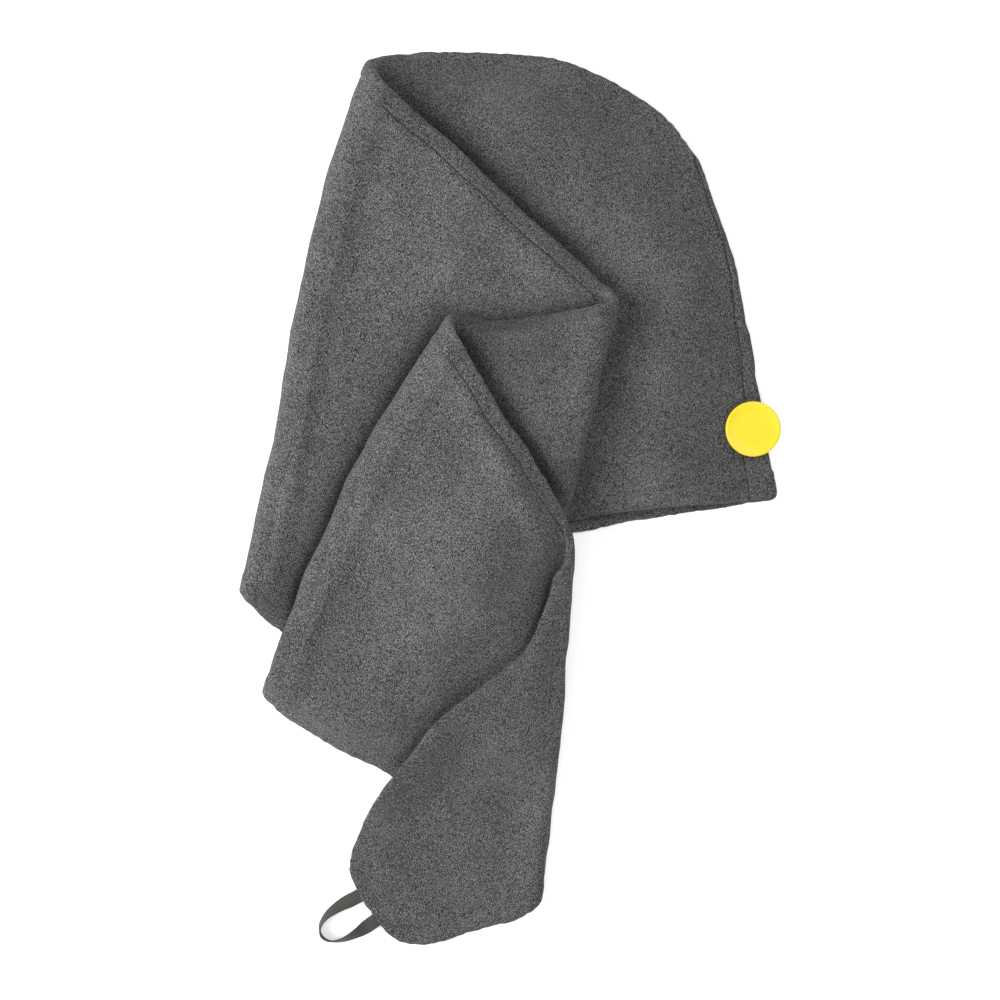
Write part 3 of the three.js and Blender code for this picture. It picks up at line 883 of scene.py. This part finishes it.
def stitch_row(make, to_row, run, pitch, wander):
    """One row of stitches: the thread, and painted shade where it pulls the pile down, with a gap after
    each.
    """
    line = 1 - (to_row + wander).math("ABSOLUTE").ramp(0.22 * MM, 0.6 * MM)
    beat = (run * (2 * math.pi / pitch)).math("SINE")
    return line * (0.45 + beat.ramp(-0.9, -0.2) * 0.55)


def pricks(make, to_row, run, pitch, chance):
    """A loose row of dark pricks where the hidden overlock stitches come through the pile."""
    over = to_row / pitch + 0.5
    spot = make.node(
        "ShaderNodeTexVoronoi",
        {"voronoi_dimensions": "2D"},
        Vector=vector(make, run / pitch, over),
        Scale=1.0,
        Randomness=0.75,
    )
    inside = over.ramp(0.0, 0.02) * (1 - over.ramp(0.98, 1.0))
    near = 1 - Value(make.tree, spot.outputs["Distance"]).ramp(0.08, 0.2)
    tint = make.node("ShaderNodeSeparateColor", None, Color=Value(make.tree, spot.outputs["Color"]))
    chosen = Value(make.tree, tint.outputs[0]).ramp(1 - chance, 1.02 - chance)
    return near * inside * chosen


def threads(make, place):
    """How far the stitching draws the pile down, from 0 to 1."""
    seam_run, hem_run = attribute(make, "seam_run"), attribute(make, "hem_run")
    to_seam, to_hem = attribute(make, "to_seam_stitch"), attribute(make, "to_hem_stitch")
    wander = (noise(make, place, 60.0, 1.0) - 0.5) * (1.2 * MM)
    worn = noise(make, place, 130.0).ramp(0.42, 0.62)
    seam_line = stitch_row(make, to_seam, seam_run, SEAM_PITCH, wander)
    hem_line = stitch_row(make, to_hem, hem_run, HEM_PITCH, wander) * worn
    dots = sum(pricks(make, to_seam - at, seam_run, *rest) for at, *rest in SEAM_PRICKS)
    at, *rest = HEM_PRICKS
    dots = dots * attribute(make, "tail") + pricks(make, to_hem - at, hem_run, *rest)
    return (seam_line + hem_line * 0.6 + dots * 0.75).math("MINIMUM", 1.0)


print("stitches every", SEAM_PITCH / MM, "mm at the seam and", HEM_PITCH / MM, "mm at the hem")

# %% [markdown]
# ## The pile
#
# The cloth is a dense pile of short microfibre loops that lean one way, about half a millimetre
# across. Real strands would be far too many. Slanted cells and fine noise make the loops, and wide
# noise the patches where the pile is rubbed flat.

# %% Pile
LEAN = 40  # degrees from +X that the loops lie at
LOOPS = 2400.0  # how many fit in a metre
DRAWN_OUT = (1.3, 0.5, 0.8)  # and how they are drawn out along the slant, as scales of the pattern


def pile(make, place):
    """The pile's tone, around nothing, and its height, around one half."""
    turn = (0, 0, math.radians(LEAN))
    slant = make.node("ShaderNodeMapping", None, Vector=place, Rotation=turn, Scale=DRAWN_OUT)
    slanted = Value(make.tree, slant.outputs[0])
    loops = make.node("ShaderNodeTexVoronoi", {"feature": "F1"}, Vector=slanted, Scale=LOOPS)
    loops = Value(make.tree, loops.outputs["Distance"])
    grain = noise(make, slanted, 3000.0, 1.0, 0.6)
    fine = noise(make, place, 3000.0, 1.0)
    rub = noise(make, place, 24.0, 2.0)
    patch = noise(make, place, 110.0, 2.0)
    tone = (grain - 0.5) * 3.0 + (fine - 0.5) * 1.5 + (0.45 - loops) * 2.2
    tone = tone + (rub - 0.5) * 0.5 + (patch - 0.5) * 0.2
    return tone, grain * 0.6 + (1 - loops) * 0.6 + fine * 0.25


print("loops lean at", LEAN, "degrees")

# %% [markdown]
# ## Towelling
#
# The cloth is dyed mid grey and looks rough and dry, with hardly a sheen. Light catches the tips
# of the loops, and the ground between them stays dark. The two halves show their pile from
# opposite sides, so one is a little darker.

# %% Towelling
TOWEL_DARK = (0.0165, 0.0165, 0.0169)
TOWEL_LIGHT = (0.26, 0.2583, 0.2583)


def towelling():
    """Grey pile, dark along the stitching: the thread, and painted shade where it draws the pile down."""
    material, tree, shader, make = new_material("towelling")
    place = Value(tree, make.node("ShaderNodeTexCoord").outputs["Object"])
    tone, height = pile(make, place)
    sunk = threads(make, place)
    nap = 0.84 + attribute(make, "tail") * 0.19
    # The stitching darkens the colour: the thread, and painted shade in the pile it draws down.
    shade = tone.ramp(-0.95, 1.25).math("POWER", 1.5) * nap * (1 - sunk * 0.82)
    tinted(make, shader, shade, TOWEL_DARK, TOWEL_LIGHT)
    shader.inputs["Roughness"].default_value = 0.93
    shader.inputs["Specular IOR Level"].default_value = 0.1
    shader.inputs["Sheen Weight"].default_value = 0.05
    shader.inputs["Sheen Roughness"].default_value = 0.5
    raised(make, shader, height - sunk * 0.9, 0.9 * MM)
    return material


cloth = towelling()
for half in (upper, lower):
    half.data.materials.append(cloth)
print("towelling has", len(cloth.node_tree.nodes), "nodes")

# %% [markdown]
# ## The button
#
# The button is moulded from glossy yellow plastic: a flat disc with a rounded edge and a faintly
# sunk face. It could be turned from a profile. A cylinder, inset and bevelled, gives the same.

# %% Button
BUTTON_RIM = 1.4 * MM
BUTTON_ROUND = 0.7 * MM
FACE_STEP = 0.5 * MM
FACE_DEPTH = 0.25 * MM
FACE_RING = 4 * MM  # one more ring keeps the shading of the face flat
YELLOW = (0.62, 0.475, 0.003)


def plain_material(name, colour, roughness, coat=0.0):
    material, tree, shader, make = new_material(name)
    shader.inputs["Base Color"].default_value = (*colour, 1)
    shader.inputs["Roughness"].default_value = roughness
    shader.inputs["Coat Weight"].default_value = coat
    return material


def button():
    """The disc, in the box of the solid: its rim, its step and its sunk face are insets."""
    low, high = (Vector(corner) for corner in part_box("button_disc"))
    centre = (low + high) / 2
    radius = (high.x - low.x) / 2
    bpy.ops.mesh.primitive_cylinder_add(
        vertices=96, radius=radius, depth=high.z - low.z, location=centre
    )
    disc = bpy.context.object
    disc.name = "button"
    bpy.ops.object.transform_apply(location=True)
    bpy.ops.object.mode_set(mode="EDIT")
    bpy.ops.mesh.select_all(action="DESELECT")
    bpy.ops.object.mode_set(mode="OBJECT")
    top = max(disc.data.polygons, key=lambda face: face.center.z)
    top.select = True
    bpy.ops.object.mode_set(mode="EDIT")
    bpy.ops.mesh.inset(thickness=BUTTON_RIM)
    bpy.ops.mesh.inset(thickness=FACE_STEP, depth=-FACE_DEPTH)
    bpy.ops.mesh.inset(thickness=FACE_RING)
    bpy.ops.object.mode_set(mode="OBJECT")
    bevel = disc.modifiers.new("bevel", "BEVEL")
    bevel.width = BUTTON_ROUND
    bevel.segments = 4
    bevel.limit_method = "ANGLE"
    bpy.ops.object.modifier_apply(modifier="bevel")
    bpy.ops.object.shade_smooth_by_angle(angle=math.radians(40))
    disc.data.materials.append(plain_material("button_yellow", YELLOW, 0.38))
    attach(disc, "root")
    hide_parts("button_disc")
    return disc


disc = button()
print("button", round(disc.dimensions.x / MM, 1), "mm across")

# %% [markdown]
# ## The button's post
#
# On the real button this is a moulded eye with a thread through it. The disc hides it, so a plain
# post holds the disc off the cloth.

# %% Post
POST_YELLOW = (0.8, 0.6, 0.01)


def shank():
    """The post, in the box of the solid."""
    low, high = (Vector(corner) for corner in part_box("button_shank"))
    bpy.ops.mesh.primitive_cylinder_add(
        vertices=32, radius=(high.x - low.x) / 2, depth=high.z - low.z, location=(low + high) / 2
    )
    post = bpy.context.object
    post.name = "button_shank_post"
    bpy.ops.object.transform_apply(location=True)
    bpy.ops.object.shade_smooth_by_angle(angle=math.radians(40))
    post.data.materials.append(plain_material("shank_yellow", POST_YELLOW, 0.4))
    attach(post, "root")
    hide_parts("button_shank")
    return post


print("post", round(shank().dimensions.z / MM, 1), "mm high")

# %% [markdown]
# ## The tape
#
# A woven tape leaves the tip flat between the halves, turns up on edge for the bend and goes back
# in flat. Its two ends are sewn between the halves. Its route and its lean are given at a few
# points, and a smooth curve runs through them.

# %% Route of the loop
LOOP_REACH = 29 * MM
LOOP_SPREAD = 17.5 * MM
# Out from the tip in shares of LOOP_REACH, across it in shares of LOOP_SPREAD, and the tape's lean
# from upright in degrees
LOOP_ROUTE = np.array([
    (-0.3, -0.2, 90), (-0.04, -0.22, 90), (0.16, -0.23, 90), (0.43, -0.25, 50), (0.7, -0.2, 24),
    (0.9, -0.02, 8), (0.96, 0.26, 0), (0.86, 0.52, -8), (0.64, 0.66, -24), (0.38, 0.69, -50),
    (0.16, 0.66, -90), (-0.04, 0.63, -90), (-0.3, 0.6, -90),
])
ROUTE_STEPS = 120


def loop_route():
    """The middle of the tape and its lean from upright, from one sewn end to the other."""
    tip = SEAM[-1], HEM[-1], BOW[-1]
    root = on_line(*tip, np.array(0.5))
    along = on_line(*tip, np.array(0.51)) - on_line(*tip, np.array(0.49))
    along /= np.linalg.norm(along)
    out = np.array([along[1], -along[0]])
    lean = np.radians(LOOP_ROUTE[:, 2])
    plan = root + LOOP_ROUTE[:, :1] * LOOP_REACH * out + LOOP_ROUTE[:, 1:2] * LOOP_SPREAD * along
    seat = CLOTH + TAPE_THICKNESS / 2 + TAPE_ROOM / 2
    upright = TAPE_WIDTH * np.cos(lean) + TAPE_THICKNESS * abs(np.sin(lean))
    route = np.column_stack([plan, np.maximum(seat, upright / 2), lean])
    fine = spline(route, np.linspace(0, 1, ROUTE_STEPS))
    return fine[:, :3], fine[:, 3]


tape_middle, tape_lean = loop_route()
tape_run = np.concatenate([[0], np.cumsum(np.linalg.norm(np.diff(tape_middle, axis=0), axis=1))])
print("tape", round(float(tape_run[-1]), 4), "m long")

# %% [markdown]
# ## The tape's body
#
# The tape is 7 mm wide and under 1 mm thick, with rounded edges. A curve with a bevel could make
# it, but wouldn't hold its lean, so the section is carried along the route ring by ring.

# %% Hanging loop
# The tape's section: across its width and its thickness, in shares of each, for half of it
TAPE_SECTION = np.array([(-0.5, 0), (-0.48, 0.36), (-0.43, 0.5), (0, 0.5), (0.43, 0.5), (0.48, 0.36)])
section = np.concatenate([TAPE_SECTION, -TAPE_SECTION])


def tape_rings(centre, lean):
    """The section at each point of the route, turned to its lean."""
    ahead = np.gradient(centre[:, :2], axis=0)
    ahead /= np.linalg.norm(ahead, axis=1, keepdims=True)
    ahead = np.column_stack([ahead, 0 * lean])
    sideways = np.column_stack([ahead[:, 1], -ahead[:, 0], 0 * lean])
    wide = np.cos(lean)[:, None] * [0, 0, 1] - abs(np.sin(lean))[:, None] * sideways
    normal = np.cross(ahead, wide)
    rings = centre[:, None] + section[None, :, :1] * TAPE_WIDTH * wide[:, None]
    return rings + section[None, :, 1:] * TAPE_THICKNESS * normal[:, None]


def hanging_loop():
    """The tape as a closed tube of its section, with its length and width as UV in metres."""
    rings = tape_rings(tape_middle, tape_lean)
    count, sides = rings.shape[:2]
    i, j = np.meshgrid(np.arange(count - 1), np.arange(sides), indexing="ij")
    k = (j + 1) % sides
    faces = np.stack([i * sides + j, i * sides + k, (i + 1) * sides + k, (i + 1) * sides + j], -1)
    faces = faces.reshape(-1, 4).tolist()
    faces += [list(range(sides))[::-1], [(count - 1) * sides + side for side in range(sides)]]
    mesh = bpy.data.meshes.new("tape_loop")
    mesh.from_pydata(rings.reshape(-1, 3).tolist(), [], faces)
    uv = mesh.uv_layers.new(name="weave")
    corner = np.empty(len(mesh.loops), int)
    mesh.loops.foreach_get("vertex_index", corner)
    plan = np.stack([tape_run[corner // sides], section[corner % sides, 0] * TAPE_WIDTH], -1)
    uv.data.foreach_set("uv", plan.ravel())
    return new_object("tape_loop", mesh)


tape = hanging_loop()
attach(tape, "root")
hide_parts("hanging_loop")
print("tape reaches", round(tape.dimensions.z / MM, 1), "mm up")

# %% [markdown]
# ## The tape's weave
#
# The tape is woven in fine ribs from dark grey yarn and is smoother than the towelling. The weave
# is too fine to model as threads, so two waves along its length and width stand for it.

# %% Woven tape
RIB = 0.55 * MM
WARP = 0.7 * MM
TAPE_DARK = (0.021, 0.0194, 0.017)
TAPE_LIGHT = (0.0605, 0.0556, 0.0484)


def woven_tape():
    """Fine ribs across the tape, with a slightly raised edge along both sides."""
    material, tree, shader, make = new_material("woven_tape")
    uv = make.node("ShaderNodeUVMap", {"uv_map": "weave"}).outputs[0]
    split = make.node("ShaderNodeSeparateXYZ", None, Vector=Value(tree, uv))
    run, side = (Value(tree, split.outputs[i]) for i in (0, 1))
    rib = (run * (2 * math.pi / RIB)).math("SINE")
    warp = (side * (2 * math.pi / WARP)).math("SINE")
    edge = side.math("ABSOLUTE").ramp(2.6 * MM, 3.0 * MM)
    lint = noise(make, Value(tree, uv), 900.0)
    tone = 0.5 + rib * warp * 0.3 + (lint - 0.5) * 0.7 + edge * 0.2
    tinted(make, shader, tone, TAPE_DARK, TAPE_LIGHT)
    shader.inputs["Roughness"].default_value = 0.62
    shader.inputs["Specular IOR Level"].default_value = 0.3
    raised(make, shader, rib * warp + edge, 0.2 * MM)
    return material


tape.data.materials.append(woven_tape())
print("tape's ribs are", RIB / MM, "mm apart")

# %% [markdown]
# ## Light
#
# The towel was photographed from straight above under broad, soft light from the left, with weaker
# light from the other sides, and no hard shadow. Three wide suns and a pale world do the same.

# %% Light
# Azimuth from +X towards +Y, elevation and breadth in degrees, and strength
LIGHTS = {
    "key": (185, 34, 55, 4.2),
    "fill": (45, 58, 40, 1.4),
    "front": (270, 55, 40, 0.66),
}
SKY = 0.45


def soft_light(name, azimuth, elevation, breadth, strength):
    """A broad, even light from far off."""
    data = bpy.data.lights.new(name, "SUN")
    data.energy = strength
    data.angle = math.radians(breadth)
    lamp = bpy.data.objects.new(name, data)
    bpy.context.scene.collection.objects.link(lamp)
    a, e = math.radians(azimuth), math.radians(elevation)
    from_there = Vector((math.cos(a) * math.cos(e), math.sin(a) * math.cos(e), math.sin(e)))
    lamp.rotation_euler = (-from_there).to_track_quat("-Z", "Y").to_euler()


for name, light in LIGHTS.items():
    soft_light(name, *light)
world = bpy.data.worlds.new("studio")
bpy.context.scene.world = world
world.use_nodes = True
background = world.node_tree.nodes["Background"].inputs
background["Color"].default_value = (1, 1, 1, 1)
background["Strength"].default_value = SKY
print(len(LIGHTS), "lights and a sky of", SKY)

# %% [markdown]
# ## Floor
#
# In the photograph the ground stays pure white even beside the folds, as on a table that is lit
# from below. White paper with a slight glow of its own does the same.

# %% Floor
PAPER_WHITE = 0.9
PAPER_GLOW = 0.22
bpy.ops.mesh.primitive_plane_add(size=8, location=(0, 0, 0))
floor = bpy.context.object
floor.name = "floor"
paper = plain_material("paper", (PAPER_WHITE, PAPER_WHITE, PAPER_WHITE), 0.8)
glow = paper.node_tree.nodes["Principled BSDF"].inputs
glow["Emission Color"].default_value = (1, 1, 1, 1)
glow["Emission Strength"].default_value = PAPER_GLOW
floor.data.materials.append(paper)
print("floor", floor.dimensions.x, "m wide")

# %% [markdown]
# ## Camera
#
# The camera looks straight down. Its height is a usual one for a table top, and its lens is chosen
# so that a pixel of the photograph covers the same length on the floor.

# %% Camera
FRAME = 1000  # pixels across the photograph
PIXEL = 0.51 * MM
TOWEL_AT = (511.1, 498.5)  # the middle of the towel in the photograph, from its top left corner
HEIGHT = 1.5
SENSOR = 36
camera_data = bpy.data.cameras.new("camera")
camera = bpy.data.objects.new("camera", camera_data)
bpy.context.scene.collection.objects.link(camera)
camera_data.sensor_width = SENSOR
camera_data.lens = SENSOR * HEIGHT / (FRAME * PIXEL)
camera.location = ((FRAME / 2 - TOWEL_AT[0]) * PIXEL, (TOWEL_AT[1] - FRAME / 2) * PIXEL, HEIGHT)
camera.rotation_euler = (0, 0, 0)
bpy.context.scene.camera = camera
bpy.context.scene.view_settings.view_transform = "Standard"
print("lens", round(camera_data.lens, 1), "mm")
